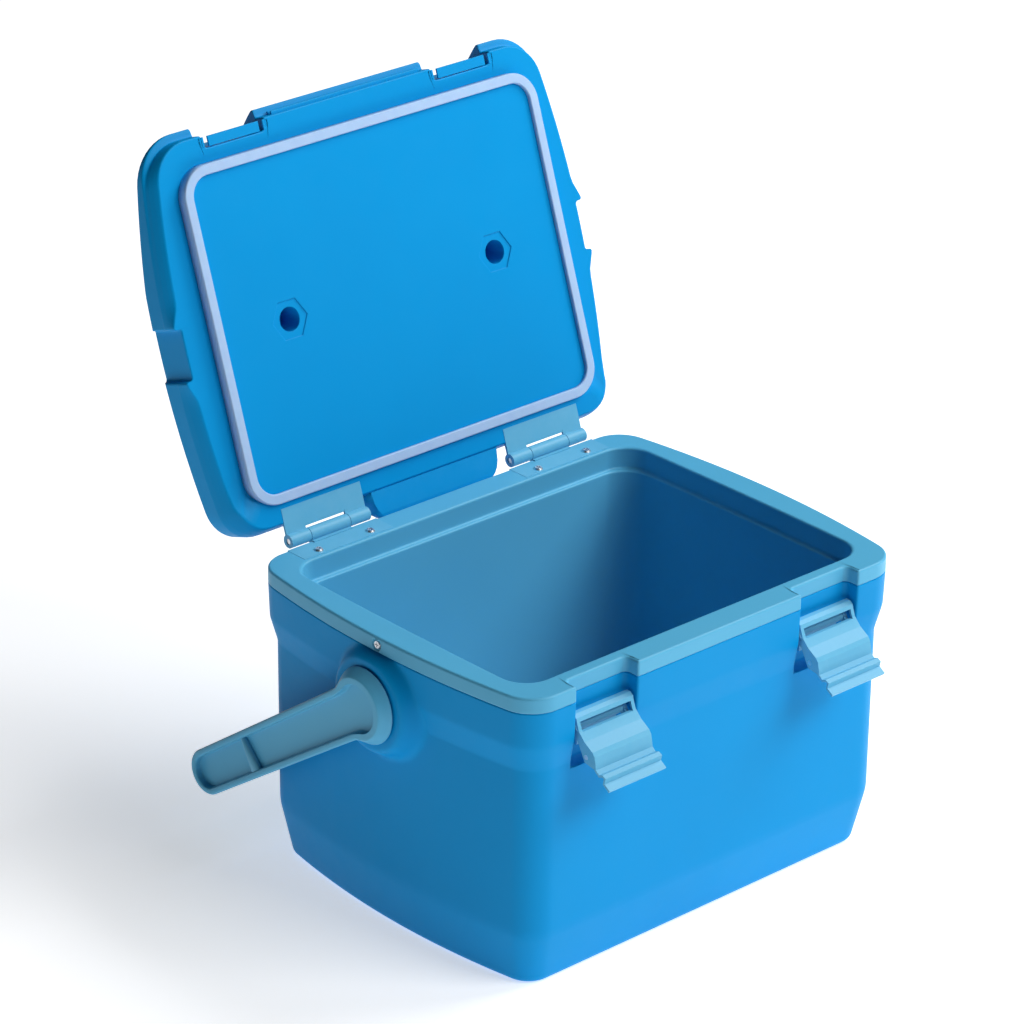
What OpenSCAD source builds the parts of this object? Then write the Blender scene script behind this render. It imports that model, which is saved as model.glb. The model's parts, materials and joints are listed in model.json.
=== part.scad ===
// Hard-shell picnic cooler with a hinged lid, a swinging bail handle and two draw latches.
// Millimetres. Origin under the middle of the body, +Z up, front towards -Y.
// It stands as it is used when open: lid leaning back, handle down behind, latches hanging.

/* [Body] */
// Width between the front corners, measured at the rim
body_w = 288; // [250:1:340]
// Depth from front to back, measured at the rim
body_d = 238; // [210:1:286]
// Height of the rim's top above the ground
body_h = 189; // [168:1:227]
// How far each side bows out past its corners
side_bow = 11; // [6:0.5:14]
// Plan radius of the body's corners
corner_r = 21; // [17:0.5:26]
// Wall of the moulded outer shell
shell_wall = 2.6; // [2:0.1:3.2]
// Height of the pale rim that caps the shell
rim_t = 9.7; // [8:0.1:11.6]
// Height of the wider band under the rim
band_h = 22; // [18:0.5:27]
// How far the sides step in below the band
step_side = 4.9; // [3:0.1:6]
// How far the front and back step in below the band
step_front = 3.9; // [3:0.1:5]
// Height of the inward slope at the foot
foot_h = 33; // [25:1:40]
// How far the foot slopes in all round
foot_in = 7; // [5:0.5:9]

/* [Liner] */
// Width of the opening in the rim
mouth_w = 269; // [262:1:272]
// Depth of the opening in the rim
mouth_d = 201; // [190:1:206]
// Plan radius of the opening's corners
mouth_r = 18; // [14:0.5:20]
// Depth of the ledge below the rim's top
ledge_z = 13.5; // [10:0.5:18]
// Width of the ledge
ledge_w = 3.6; // [2:0.1:5]
// Wall of the liner
liner_wall = 2.5; // [2:0.1:3]
// Thickness of the floor, liner top to ground
floor_t = 30; // [24:1:36]
// How much narrower each wall of the liner is at its floor than at the ledge
liner_draft = 5; // [2:0.5:7]

/* [Lid] */
// Angle the lid stands open, from shut
lid_open = 109; // [95:1:115]
// Overall thickness of the lid
lid_h = 36; // [32:1:43]
// How far the lid reaches past the rim at the front
lid_over = 5; // [4:0.5:8]
// Gap between the shut lid and the rim
lid_gap = 3; // [2.8:0.1:3.6]
// Wall of the lid's shell
lid_wall = 2.6; // [2:0.1:3]
// How much deeper the margin outside the seal lies than the pan
margin_up = 4.4; // [3.6:0.1:5.3]
// How far the lid's lower edge lies inside its widest line
lip_in = 4.5; // [3.7:0.1:5.4]
// Width of the level strip along the lid's rear that the hinges screw to
rear_strip = 24; // [20:0.5:29]
// Width of the rubber seal
seal_w = 6.2; // [5:0.1:7.4]
// How far the seal stands out of the lid
seal_h = 2.6; // [1.5:0.1:2.7]
// Radius of the two screw wells in the lid's underside
well_r = 7.25; // [6:0.25:8.5]
// Half the distance between the wells
well_x = 80.6; // [60:0.1:95]

/* [Hinges] */
// Distance of the hinge line behind the body
hinge_back = 4; // [3.8:0.1:4.8]
// Outer radius of the hinge knuckles
knuckle_r = 4.2; // [3.6:0.1:4.4]
// Radius of the hinge pins
pin_r = 1.8; // [1.4:0.1:2]
// Inner end of each hinge, from the middle
hinge_x0 = 57.1; // [54:0.1:62]
// Length of each hinge
hinge_len = 60.3; // [50:0.1:64]

/* [Handle] */
// Distance from the pivot to the middle of the grip bar
handle_reach = 171; // [165:1:178]
// Angle the handle hangs below level, behind the body
handle_drop = 35; // [25:1:37]
// Height of the pivot below the rim
pivot_down = 40.8; // [38:0.1:43]
// Radius of the pivot studs
stud_r = 5; // [4:0.1:6]
// Radius of the grip bar
grip_r = 13; // [10:0.5:14]
// Thickness of each handle arm
arm_t = 7.2; // [6:0.1:8]
// Depth of the channel in the arm's outer face
channel_depth = 3; // [1:0.1:3.5]
// Width of the edge left round that channel
channel_edge = 4; // [3:0.1:5]

/* [Latches] */
// Distance of each latch from the middle
latch_x = 88.1; // [80:0.1:94]
// Width of each latch's lever
lever_w = 43.3; // [38:0.1:44.4]
// Width of the recess that each latch sits in
recess_w = 46.6; // [46:0.1:50]
// Thickness of the lever's plate
lever_t = 1.5; // [1.2:0.1:1.6]
// Radius of the latch pins
latch_pin_r = 1.5; // [1.2:0.1:1.6]

/* [Hidden] */

$fn = 48;
azure = "#0090e0";
sky = "#6fbfe8";
steel = "#c9ccd0";
foam = "#e8e2c8";
lavender = "#a9c8f2";

eps = 0.02;          // overlap that makes two cuts or solids meet cleanly
gap = 0.3;           // clearance between pieces that only lie next to each other
run = 0.06;          // radial clearance of a pin that turns in its bore
arc_steps = 7;       // segments in each corner of a plan outline
side_steps = 7;      // segments along each bowed side

// ---- plan outlines and lofts ----

// Plan outline: straight front and back, sides that bow out by s, corners of radius r.
function side_radius(d, s) = (d * d / 4 + s * s) / (2 * s);
function side_centre(w, d, s) = w / 2 + s - side_radius(d, s);
function corner_angle(w, d, s, r) = asin((d / 2 - r) / (side_radius(d, s) - r));
function corner_x(w, d, s, r) =
    side_centre(w, d, s) + (side_radius(d, s) - r) * cos(corner_angle(w, d, s, r));
function arc(c, r, a0, a1, n) = [for (i = [0:n]) c + r * [cos(a0 + (a1 - a0) * i / n), sin(a0 + (a1 - a0) * i / n)]];
function inner_points(p) = [for (i = [1:len(p) - 2]) p[i]];
function outline(w, d, s, r) =
    let (a = corner_angle(w, d, s, r), x = corner_x(w, d, s, r), y = d / 2 - r,
         c = side_centre(w, d, s), big = side_radius(d, s))
    concat(arc([x, -y], r, -90, -a, arc_steps),
           inner_points(arc([c, 0], big, -a, a, side_steps)),
           arc([x, y], r, a, 90, arc_steps),
           arc([-x, y], r, 90, 180 - a, arc_steps),
           inner_points(arc([-c, 0], big, 180 - a, 180 + a, side_steps)),
           arc([-x, -y], r, 180 + a, 270, arc_steps));
function at(outline, z, y = 0) = [for (p = outline) [p[0], p[1] + y, z]];

// Solid through a list of rings, closed by flat ends. A ring list that turns back inside makes a cup.
module loft(rings) {
    n = len(rings[0]);
    polyhedron(
        points = [for (r = rings) each r],
        faces = concat(
            [[for (i = [0:n - 1]) i]],
            [for (k = [0:len(rings) - 2], i = [0:n - 1]) [k * n + i, (k + 1) * n + i, (k + 1) * n + (i + 1) % n]],
            [for (k = [0:len(rings) - 2], i = [0:n - 1]) [k * n + i, (k + 1) * n + (i + 1) % n, k * n + (i + 1) % n]],
            [[for (i = [n - 1:-1:0]) (len(rings) - 1) * n + i]]));
}
module box(low, high) { translate(low) cube(high - low); }
module xrod(r, x0, x1, y, z) { translate([x0, y, z]) rotate([0, 90, 0]) cylinder(r = r, h = x1 - x0); }
module rounded_plate(w, d, r, z0, z1) {
    translate([0, 0, z0]) linear_extrude(z1 - z0) offset(r) square([w - 2 * r, d - 2 * r], center = true);
}
module on_sides() {
    children();
    mirror([1, 0, 0]) children();
}

// ---- body sizes that follow from the rest ----

rim_z = body_h - rim_t;                       // underside of the rim
band_z = rim_z - band_h;                      // bottom of the band
step_z = band_z - 16;                         // where the step below the band ends
pivot_z = body_h - pivot_down;
// Levels of the outer shell: height, inset at the sides, inset at front and back
shell_levels = [
    [0, step_side + foot_in + 1.3, step_front + foot_in + 1.3],
    [2.5, step_side + foot_in - 0.4, step_front + foot_in - 0.4],
    [foot_h, step_side + 0.4, step_front + 0.4],
    [foot_h + 4, step_side, step_front],
    [step_z, step_side - 0.3, step_front - 0.3],
    [band_z, 0.6, 0.6],
    [rim_z, 0, 0]];
function body_outline(side, front, r = 0) =
    outline(body_w - 2 * side, body_d - 2 * front, side_bow, corner_r - (side + front) / 4 - r);
function shell_ring(l, wall = 0) = at(body_outline(l[1] + wall, l[2] + wall, wall * 0.5), l[0]);
recess_y = -body_d / 2 + 10;                  // back wall of each latch recess
recess_z = body_h - 50;                       // floor of each latch recess
recess_slope = 6;                             // the floor slopes out over this height
mouth_bow = 1.2;
function mouth_outline(in) = outline(mouth_w - 2 * in, mouth_d - 2 * in, mouth_bow, mouth_r);

// Space cut away for a latch, or the block that carries its walls
module latch_recess(grow, top) {
    on_sides() translate([latch_x, 0, 0]) rotate([90, 0, 90])
        linear_extrude(recess_w + 2 * grow, center = true)
            polygon([[recess_y + grow, recess_z - grow], [recess_y + grow, top],
                     [-body_d, top], [-body_d, recess_z - recess_slope * 8 - grow]]);
}
module recess_walls() {
    intersection() {
        latch_recess(shell_wall, rim_z);
        loft([for (l = shell_levels) shell_ring(l)]);
    }
}

module outer_shell() {
    color(azure) difference() {
        union() {
            loft(concat([for (l = shell_levels) shell_ring(l)],
                        [for (i = [len(shell_levels) - 1:-1:2]) shell_ring(shell_levels[i], shell_wall)],
                        [shell_ring([shell_wall + 1, shell_levels[1][1], shell_levels[1][2]], shell_wall)]));
            recess_walls();
            on_sides() difference() {
                translate([boss_root, 0, pivot_z]) rotate([0, 90, 0])
                    cylinder(r1 = boss_foot_r, r2 = boss_r, h = boss_x - boss_root, $fn = 72);
                box([boss_root - 1, -boss_foot_r, rim_z], [boss_x + 1, boss_foot_r, body_h]);
            }
        }
        latch_recess(0, rim_z + eps);
        on_sides() xrod(stud_r, boss_root - eps, boss_x + eps, 0, pivot_z);
        on_sides() bracket_screw_places() rotate([90, 0, 0]) cylinder(r = screw_r, h = shell_wall * 3, center = true);
        translate([0, plug_y, -eps]) cylinder(r = plug_r, h = shell_wall * 2);
    }
}

boss_root = body_w / 2 + side_bow - step_side - 1.5;     // where the pivot boss starts inside the wall
boss_x = body_w / 2 + side_bow + 7;                      // outer face of the pivot boss
boss_r = 28.8;
boss_foot_r = 37;
plug_r = 6;
plug_y = 70;

module inner_liner() {
    flange_levels = [[rim_z, 0], [body_h - 1.4, 0], [body_h, 1.3]];
    wall_top = body_h - ledge_z;
    color(sky) difference() {
        loft(concat(
            [at(mouth_outline(ledge_w + liner_draft - liner_wall), floor_t - liner_wall)],
            [at(mouth_outline(ledge_w - liner_wall), wall_top - 6)],
            [at(mouth_outline(-liner_wall), wall_top - 2)],
            [at(mouth_outline(-liner_wall), rim_z)],
            [for (l = flange_levels) at(body_outline(l[1], l[1]), l[0])],
            [at(mouth_outline(-1.2), body_h)],
            [at(mouth_outline(0), body_h - 1.6)],
            [at(mouth_outline(0.6), wall_top + 1)],
            [at(mouth_outline(ledge_w), wall_top - 1)],
            [at(mouth_outline(ledge_w + liner_draft - 0.6), floor_t + 12)],
            [at(mouth_outline(ledge_w + liner_draft + 10), floor_t)]));
        latch_recess(0, body_h + 1);
        on_sides() hinge_leaf_pocket();
        on_sides() hinge_screw_places() translate([0, 0, -screw_len]) cylinder(r = screw_r, h = screw_len);
        on_sides() xrod(screw_r, body_w / 2 + side_bow - screw_len, body_w / 2 + side_bow + 1, 0, liner_screw_z);
        on_sides() xrod(screw_head_r + 0.6, body_w / 2 + side_bow - 1.2, body_w / 2 + side_bow + 1, 0, liner_screw_z);
    }
}

module insulation_core() {
    color(foam) difference() {
        loft(concat(
            [shell_ring([shell_wall + 1 + gap, shell_levels[1][1], shell_levels[1][2]], shell_wall + 2 * gap)],
            [for (i = [2:len(shell_levels) - 2]) shell_ring(shell_levels[i], shell_wall + gap)],
            [shell_ring([rim_z - gap, 0, 0], shell_wall + gap + 0.4)],
            [at(mouth_outline(-liner_wall - gap), rim_z - gap)],
            [at(mouth_outline(-liner_wall - gap), body_h - ledge_z - 2)],
            [at(mouth_outline(ledge_w - liner_wall - gap), body_h - ledge_z - 6.4)],
            [at(mouth_outline(ledge_w + liner_draft - liner_wall - gap), floor_t - liner_wall - gap)]));
        latch_recess(shell_wall + gap, rim_z + 1);
        on_sides() xrod(boss_foot_r + gap, boss_root - gap, boss_x, 0, pivot_z);
        on_sides() bracket_screw_places() rotate([90, 0, 0]) cylinder(r = screw_r + 1, h = 40, center = true);
        translate([0, plug_y, 0]) cylinder(r = plug_r + 2.4, h = shell_wall * 2 + 4);
        on_sides() xrod(screw_r + gap, body_w / 2 - 20, body_w / 2 + side_bow + 1, 0, liner_screw_z);
    }
}

screw_r = 1.5;
screw_head_r = 2.75;
screw_len = 8;
liner_screw_z = body_h - 5.2;

module screw(len) {
    cylinder(r = screw_r, h = len);
    translate([0, 0, len]) difference() {
        cylinder(r1 = screw_head_r, r2 = screw_head_r - 0.6, h = 1.1);
        for (a = [0, 90]) rotate(a) translate([-1.6, -0.3, 0.4]) cube([3.2, 0.6, 1]);
    }
}
module liner_screws() {
    color(steel) on_sides() translate([body_w / 2 + side_bow - screw_len, 0, liner_screw_z])
        rotate([0, 90, 0]) screw(screw_len - 1.2);
}
module fill_plug() {
    color(azure) translate([0, plug_y, 0.6]) {
        cylinder(r = plug_r, h = shell_wall * 2 - 0.6);
        translate([0, 0, shell_wall * 2 - 0.6]) cylinder(r = plug_r + 2, h = 1.2);
    }
}

// ---- lid, drawn shut with the hinge line as its origin, then swung open ----

hinge_y = body_d / 2 + hinge_back;
hinge_z = body_h + lid_gap;
lid_rear = -6.5;                                         // rear edge, in front of the hinge line
lid_front = -(hinge_y + body_d / 2 + lid_over);          // front edge
lid_d = lid_rear - lid_front;
lid_mid = (lid_rear + lid_front) / 2;
lid_w = body_w + 10;
notch_y = recess_y - 2.5 - hinge_y;                      // back wall of the lid's notches
tongue_front = -body_d / 2 + 0.8 - hinge_y;              // keeper tongue that the latch pulls on
keeper_z0 = 3.9;
keeper_z1 = 5.5;
channel_x = lid_w / 2 + side_bow - 5.5;                  // floor of the channels that the handle passes
channel_half = 15.5;
// Levels of the lid's side: height, inset
lid_levels = [[0, lip_in + 0.6], [margin_up, lip_in], [7, lip_in * 0.62], [10, lip_in * 0.29], [13, 0.3], [14, 0.2],
    [lid_h - 10, 0.2], [lid_h - 7.5, 2.2], [lid_h - 2, 9.8], [lid_h - 0.6, 13.5], [lid_h, 17]];
function lid_ring(h, in) =
    at(outline(lid_w - 2 * in, lid_d - 2 * in, side_bow, 24 - in * 0.5), h, lid_mid);
pan_w = 2 * 133.8 - 0.4;
pan_d = body_d - 40.8;
pan_mid = -hinge_y - 1.8;
seal_r = 19;

module lid_place() { translate([0, hinge_y, hinge_z]) rotate([-lid_open, 0, 0]) children(); }

// The two latch notches and the two handle channels, grown for the walls round them
module lid_cuts(grow) {
    on_sides() {
        box([latch_x - recess_w / 2 - grow, lid_front - 5, -1], [latch_x + recess_w / 2 + grow, notch_y + grow, lid_h + 1]);
        box([channel_x - grow, -hinge_y - channel_half - grow, -1],
            [lid_w, -hinge_y + channel_half + grow, lid_h + 1]);
    }
}
// The margin outside the seal, cut deeper than the pan as far back as the hinge strip
module lid_margin_step(grow) {
    difference() {
        box([-lid_w, lid_front - 5, -1], [lid_w, lid_rear - rear_strip + grow, margin_up + grow]);
        translate([0, pan_mid, 0])
            rounded_plate(pan_w + seal_w - 2 * grow, pan_d + seal_w - 2 * grow, seal_r - grow, -2, margin_up + grow + 1);
    }
}
module lid_cavity(shrink) {
    difference() {
        loft([lid_ring(lid_wall + shrink, lid_wall + lip_in + shrink), lid_ring(lid_h - 13, lid_wall + lip_in + shrink),
              lid_ring(lid_h - lid_wall - 1.5 - shrink, lid_wall + 14 + shrink)]);
        lid_cuts(lid_wall + shrink);
        lid_margin_step(lid_wall + shrink);
    }
}
module lid_shell() {
    rear_half = 50;
    rear_end = 9;
    color(azure) lid_place() difference() {
        union() {
            difference() {
                union() {
                    loft([for (l = lid_levels) lid_ring(l[0], l[1])]);
                    // rear tongue between the hinges, which meets the back wall and stops the lid
                    translate([0, lid_rear - 4, 1]) rotate([90, 0, 180]) linear_extrude(rear_end + 4 - lid_rear)
                        polygon([[-rear_half, 0], [rear_half, 0], [rear_half + 4, 5], [rear_half, 14],
                                 [rear_half - 8, 20], [8 - rear_half, 20], [-rear_half, 14], [-rear_half - 4, 5]]);
                }
                lid_cavity(0);
                lid_cuts(0);
                lid_margin_step(0);
            }
            on_sides() {
                box([latch_x - 18.5, tongue_front, keeper_z0], [latch_x + 18.5, notch_y + eps, keeper_z1]);
                translate([well_x, pan_mid, lid_h - 14]) cylinder(r = 5, h = 12);
            }
        }
        translate([0, pan_mid, 0]) rounded_plate(pan_w + 0.2, pan_d + 0.2, 12, -1, lid_wall + eps);
        on_sides() {
            translate([well_x, pan_mid, lid_h - 14 - eps]) cylinder(r = screw_r + 0.3, h = 9);
            lid_leaf_plate(0.05);
            lid_leaf_pegs();
        }
    }
}
module lid_pan() {
    well_depth = lid_h - 18;
    color(azure) lid_place() translate([0, pan_mid, 0]) difference() {
        union() {
            rounded_plate(pan_w, pan_d, 12, 0, lid_wall - 0.1);
            on_sides() translate([well_x, 0, 0]) cylinder(r = well_r + 2, h = well_depth + 2);
        }
        on_sides() translate([well_x, 0, 0]) {
            translate([0, 0, -1]) cylinder(r = well_r, h = well_depth + 1);
            translate([0, 0, -1]) cylinder(r = 13, h = 1.7, $fn = 6);
            cylinder(r = screw_r + 0.3, h = lid_h);
        }
    }
}
module lid_insulation() {
    color(foam) lid_place() difference() {
        lid_cavity(gap);
        on_sides() translate([well_x, pan_mid, 0]) cylinder(r = well_r + 2 + gap, h = lid_h);
        on_sides() lid_leaf_pegs(gap);
    }
}
module lid_gasket() {
    outer_w = pan_w + seal_w;
    outer_d = pan_d + seal_w;
    color(lavender) lid_place() translate([0, pan_mid, 0]) difference() {
        rounded_plate(outer_w, outer_d, seal_r, -seal_h, 0);
        rounded_plate(outer_w - 2 * seal_w, outer_d - 2 * seal_w, seal_r - seal_w, -seal_h - 1, 1);
    }
}
module lid_screws() {
    color(steel) lid_place() on_sides() translate([well_x, pan_mid, lid_h - 18 - 1.1]) {
        cylinder(r = 4.2, h = 1.1);
        cylinder(r = screw_r + 0.3, h = 13);
    }
}

// ---- hinges ----

knuckle_gap = 0.4;
mid_x0 = hinge_x0 + hinge_len * 0.26;                    // ends of the body leaf's knuckle
mid_x1 = hinge_x0 + hinge_len * 0.75;
leaf_t = 1.6;
leaf_front = 19.7;

module lid_leaf_plate(grow) {
    box([hinge_x0 - grow, -leaf_front - grow, -grow], [hinge_x0 + hinge_len + grow, -knuckle_r - 2.6 + grow, leaf_t + grow]);
}
module lid_leaf_pegs(grow = 0) {
    for (x = [hinge_x0 + 8, hinge_x0 + hinge_len - 8])
        translate([x, -leaf_front + 5, leaf_t - 0.4]) cylinder(r = 2.5 + grow, h = 6 + grow);
}
module hinge_lid_leaf() {
    lid_place() difference() {
        union() {
            lid_leaf_plate(0);
            lid_leaf_pegs();
            for (x = [[hinge_x0, mid_x0 - knuckle_gap], [mid_x1 + knuckle_gap, hinge_x0 + hinge_len]]) {
                xrod(knuckle_r, x[0], x[1], 0, 0);
                box([x[0], -knuckle_r - 2.8, 0], [x[1], 0, leaf_t]);
            }
        }
        xrod(pin_r + run, hinge_x0 - 1, hinge_x0 + hinge_len + 1, 0, 0);
    }
}
module hinge_leaf_pocket() {
    box([hinge_x0 - 4, body_d / 2 - 16, body_h - leaf_t], [hinge_x0 + hinge_len + 4, body_d, body_h + 1]);
}
module hinge_screw_places() {
    for (x = [hinge_x0 + 10, hinge_x0 + hinge_len - 10.7]) translate([x, body_d / 2 - 11, body_h]) children();
}
module hinge_body_leaf() {
    difference() {
        union() {
            box([hinge_x0 - 3.9, body_d / 2 - 15.9, body_h - leaf_t], [hinge_x0 + hinge_len + 3.9, body_d / 2, body_h]);
            box([mid_x0, body_d / 2 - 2, body_h - leaf_t], [mid_x1, hinge_y, body_h + 0.6]);
            box([mid_x0, hinge_y - 2, body_h - leaf_t], [mid_x1, hinge_y, hinge_z]);
            xrod(knuckle_r, mid_x0, mid_x1, hinge_y, hinge_z);
        }
        xrod(pin_r, mid_x0 - 1, mid_x1 + 1, hinge_y, hinge_z);
        hinge_screw_places() translate([0, 0, -leaf_t - 1]) cylinder(r = screw_r, h = leaf_t + 2);
    }
}
module hinge_pin() { xrod(pin_r, hinge_x0 + 0.4, hinge_x0 + hinge_len - 0.4, hinge_y, hinge_z); }
module hinge_screws() { hinge_screw_places() translate([0, 0, -screw_len]) screw(screw_len); }

module hinge_left_body_leaf() { color(sky) mirror([1, 0, 0]) hinge_body_leaf(); }
module hinge_left_lid_leaf() { color(sky) mirror([1, 0, 0]) hinge_lid_leaf(); }
module hinge_left_pin() { color(steel) mirror([1, 0, 0]) hinge_pin(); }
module hinge_left_screws() { color(steel) mirror([1, 0, 0]) hinge_screws(); }
module hinge_right_body_leaf() { color(sky) hinge_body_leaf(); }
module hinge_right_lid_leaf() { color(sky) hinge_lid_leaf(); }
module hinge_right_pin() { color(steel) hinge_pin(); }
module hinge_right_screws() { color(steel) hinge_screws(); }

// ---- handle, drawn level behind the pivot, then dropped ----

washer_t = 0.5;
hub_x = boss_x + washer_t + 0.2;
hub_face = hub_x + 8;
hub_r = 24;
hub_face_r = 18.8;
arm_x0 = hub_x + 0.4;
arm_half = 16;
arm_end_half = 15;
channel_floor = arm_x0 + arm_t - channel_depth;
stud_end = channel_floor - 1.5;

module handle_arm() {
    difference() {
        union() {
            translate([hub_x, 0, 0]) rotate([0, 90, 0]) cylinder(r1 = hub_r, r2 = hub_face_r, h = hub_face - hub_x, $fn = 72);
            translate([arm_x0, 0, 0]) rotate([90, 0, 90]) linear_extrude(arm_t)
                polygon([[0, -hub_face_r], [34, -arm_half], [handle_reach, -arm_end_half],
                         [handle_reach, arm_end_half], [34, arm_half], [0, hub_face_r]]);
            xrod(arm_end_half, arm_x0, arm_x0 + arm_t, handle_reach, 0);
        }
        xrod(stud_r + run, hub_x - 1, stud_end + gap, 0, 0);
        translate([channel_floor, 0, 0]) rotate([90, 0, 90]) linear_extrude(channel_depth + 2) {
            circle(hub_face_r - channel_edge, $fn = 72);
            polygon([[0, -arm_half + channel_edge], [handle_reach, -arm_end_half + channel_edge],
                     [handle_reach, arm_end_half - channel_edge], [0, arm_half - channel_edge]]);
            translate([handle_reach, 0]) circle(arm_end_half - channel_edge);
        }
    }
}
module handle_bail() {
    color(sky) translate([0, 0, pivot_z]) rotate([-handle_drop, 0, 0]) {
        on_sides() handle_arm();
        xrod(grip_r, -arm_x0 - 1, arm_x0 + 1, handle_reach, 0);
    }
}
module handle_stud() { xrod(stud_r, boss_root, stud_end, 0, pivot_z); }
module handle_washer() {
    difference() {
        xrod(9, boss_x, boss_x + washer_t, 0, pivot_z);
        xrod(stud_r, boss_x - 1, boss_x + washer_t + 1, 0, pivot_z);
    }
}
module handle_left_stud() { color(steel) mirror([1, 0, 0]) handle_stud(); }
module handle_left_washer() { color(foam) mirror([1, 0, 0]) handle_washer(); }
module handle_right_stud() { color(steel) handle_stud(); }
module handle_right_washer() { color(foam) handle_washer(); }

// ---- latches: a link pivots on the bracket, and the hooked lever pivots on the link ----

// Places in the side view, [y, z], hanging open
base_pin = [recess_y - 2.9, body_h - 29.5];
lever_pin = base_pin + [-13.5, -12.8];
hook = base_pin + [-2.6, 8];                             // middle of the hook bar
// Outer face of the lever, from the hook bar's top down over two ribs to its flared tail, from the hook
lever_face = [[2.5, 2], [-0.2, 1.8], [-2.4, 0.2], [-3.2, -2.6], [-4.9, -7.1], [-9.5, -11.8], [-16, -15.8],
    [-17.8, -18.2], [-18.6, -22], [-19.2, -25.5], [-21.6, -27.6], [-24.4, -26.6], [-26.9, -27.9],
    [-26.2, -31.4], [-30.5, -34.2]];
wall_points = [4:9];                                     // the stretch of it that has side walls
arm_w = 2.6;
link_half = lever_w / 2 - lever_t - 0.45;                // outer face of the link's arms
ear_half = link_half - arm_w - 0.4;                      // ends of the bracket's barrel
lug_r = 2.6;

function unit(v) = v / norm(v);
function left_of(v) = [-v[1], v[0]];
// Direction square to a path at point i, on its left
function path_normal(p, i) = unit(left_of(unit(p[min(i + 1, len(p) - 1)] - p[max(i - 1, 0)])));
function ribbon(p, t) = concat(p, [for (i = [len(p) - 1:-1:0]) p[i] + t * path_normal(p, i)]);

module side_view(w) { rotate([90, 0, 90]) linear_extrude(w, center = true) children(); }
module latch_rod(r, half, p) { xrod(r, -half, half, p[0], p[1]); }

module latch_lever() {
    wall_in = unit(left_of(lever_pin - hook)) * 2.6;
    reach = unit(lever_pin - hook);
    difference() {
        union() {
            side_view(lever_w) translate(hook) polygon(ribbon(lever_face, lever_t));
            for (s = [-1, 1]) translate([s * (lever_w - lever_t) / 2, 0, 0]) side_view(lever_t)
                polygon(concat(
                    [for (i = wall_points) hook + lever_face[i] + path_normal(lever_face, i) * lever_t / 2],
                    [lever_pin + wall_in + reach * 2.6, lever_pin + wall_in - reach * 10]));
        }
        // slot that the lid's keeper tongue passes through
        translate([0, hook[0] - 3.9, hook[1] - 5]) cube([38.6, 6, 5.4], center = true);
        latch_rod(latch_pin_r + run, lever_w, lever_pin);
    }
}
module latch_link() {
    along = lever_pin - base_pin;
    difference() {
        union() {
            for (s = [-1, 1]) translate([s * (link_half - arm_w / 2), 0, 0]) {
                latch_rod(lug_r, arm_w / 2, base_pin);
                latch_rod(lug_r, arm_w / 2, lever_pin);
                side_view(arm_w) translate(base_pin) rotate(atan2(along[1], along[0])) translate([0, -2]) square([norm(along), 4]);
            }
            side_view(2 * link_half - arm_w) translate(base_pin) rotate(atan2(along[1], along[0]))
                translate([norm(along) * 0.42, -1.2]) square([5, 2.4]);
        }
        latch_rod(latch_pin_r + run, lever_w, base_pin);
        latch_rod(latch_pin_r, lever_w, lever_pin);
    }
}
module latch_bracket() {
    difference() {
        union() {
            box([-15, recess_y - 1.5, base_pin[1] - 13], [15, recess_y, base_pin[1] + 7]);
            latch_rod(lug_r, ear_half, base_pin);
            box([-ear_half, base_pin[0], base_pin[1] - lug_r], [ear_half, recess_y, base_pin[1] + lug_r - 1]);
        }
        latch_rod(latch_pin_r, lever_w, base_pin);
        translate([-latch_x, 0, 0]) bracket_screw_places() rotate([90, 0, 0]) cylinder(r = screw_r, h = 8, center = true);
    }
}
module bracket_screw_places() {
    for (s = [-1, 1]) translate([latch_x + s * 10, recess_y, base_pin[1] - 9]) children();
}
module latch_screws() {
    translate([-latch_x, 0, 0]) bracket_screw_places() translate([0, 5, 0]) rotate([90, 0, 0]) screw(6.5);
}
module latch_base_pin() { latch_rod(latch_pin_r, link_half, base_pin); }
module latch_lever_pin() { latch_rod(latch_pin_r, lever_w / 2, lever_pin); }

module latch_left_bracket() { color(sky) translate([-latch_x, 0, 0]) latch_bracket(); }
module latch_left_screws() { color(steel) translate([-latch_x, 0, 0]) latch_screws(); }
module latch_left_base_pin() { color(steel) translate([-latch_x, 0, 0]) latch_base_pin(); }
module latch_left_link() { color(sky) translate([-latch_x, 0, 0]) latch_link(); }
module latch_left_lever_pin() { color(steel) translate([-latch_x, 0, 0]) latch_lever_pin(); }
module latch_left_lever() { color(sky) translate([-latch_x, 0, 0]) latch_lever(); }
module latch_right_bracket() { color(sky) translate([latch_x, 0, 0]) latch_bracket(); }
module latch_right_screws() { color(steel) translate([latch_x, 0, 0]) latch_screws(); }
module latch_right_base_pin() { color(steel) translate([latch_x, 0, 0]) latch_base_pin(); }
module latch_right_link() { color(sky) translate([latch_x, 0, 0]) latch_link(); }
module latch_right_lever_pin() { color(steel) translate([latch_x, 0, 0]) latch_lever_pin(); }
module latch_right_lever() { color(sky) translate([latch_x, 0, 0]) latch_lever(); }

outer_shell();
inner_liner();
insulation_core();
liner_screws();
fill_plug();
lid_shell();
lid_pan();
lid_insulation();
lid_gasket();
lid_screws();
hinge_left_body_leaf();
hinge_left_lid_leaf();
hinge_left_pin();
hinge_left_screws();
hinge_right_body_leaf();
hinge_right_lid_leaf();
hinge_right_pin();
hinge_right_screws();
handle_bail();
handle_left_stud();
handle_left_washer();
handle_right_stud();
handle_right_washer();
latch_left_bracket();
latch_left_screws();
latch_left_base_pin();
latch_left_link();
latch_left_lever_pin();
latch_left_lever();
latch_right_bracket();
latch_right_screws();
latch_right_base_pin();
latch_right_link();
latch_right_lever_pin();
latch_right_lever();
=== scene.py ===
# Small hard cooler chest with its lid thrown open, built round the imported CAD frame.
import json
import math

import bmesh
import bpy
from mathutils import Matrix, Vector


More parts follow.
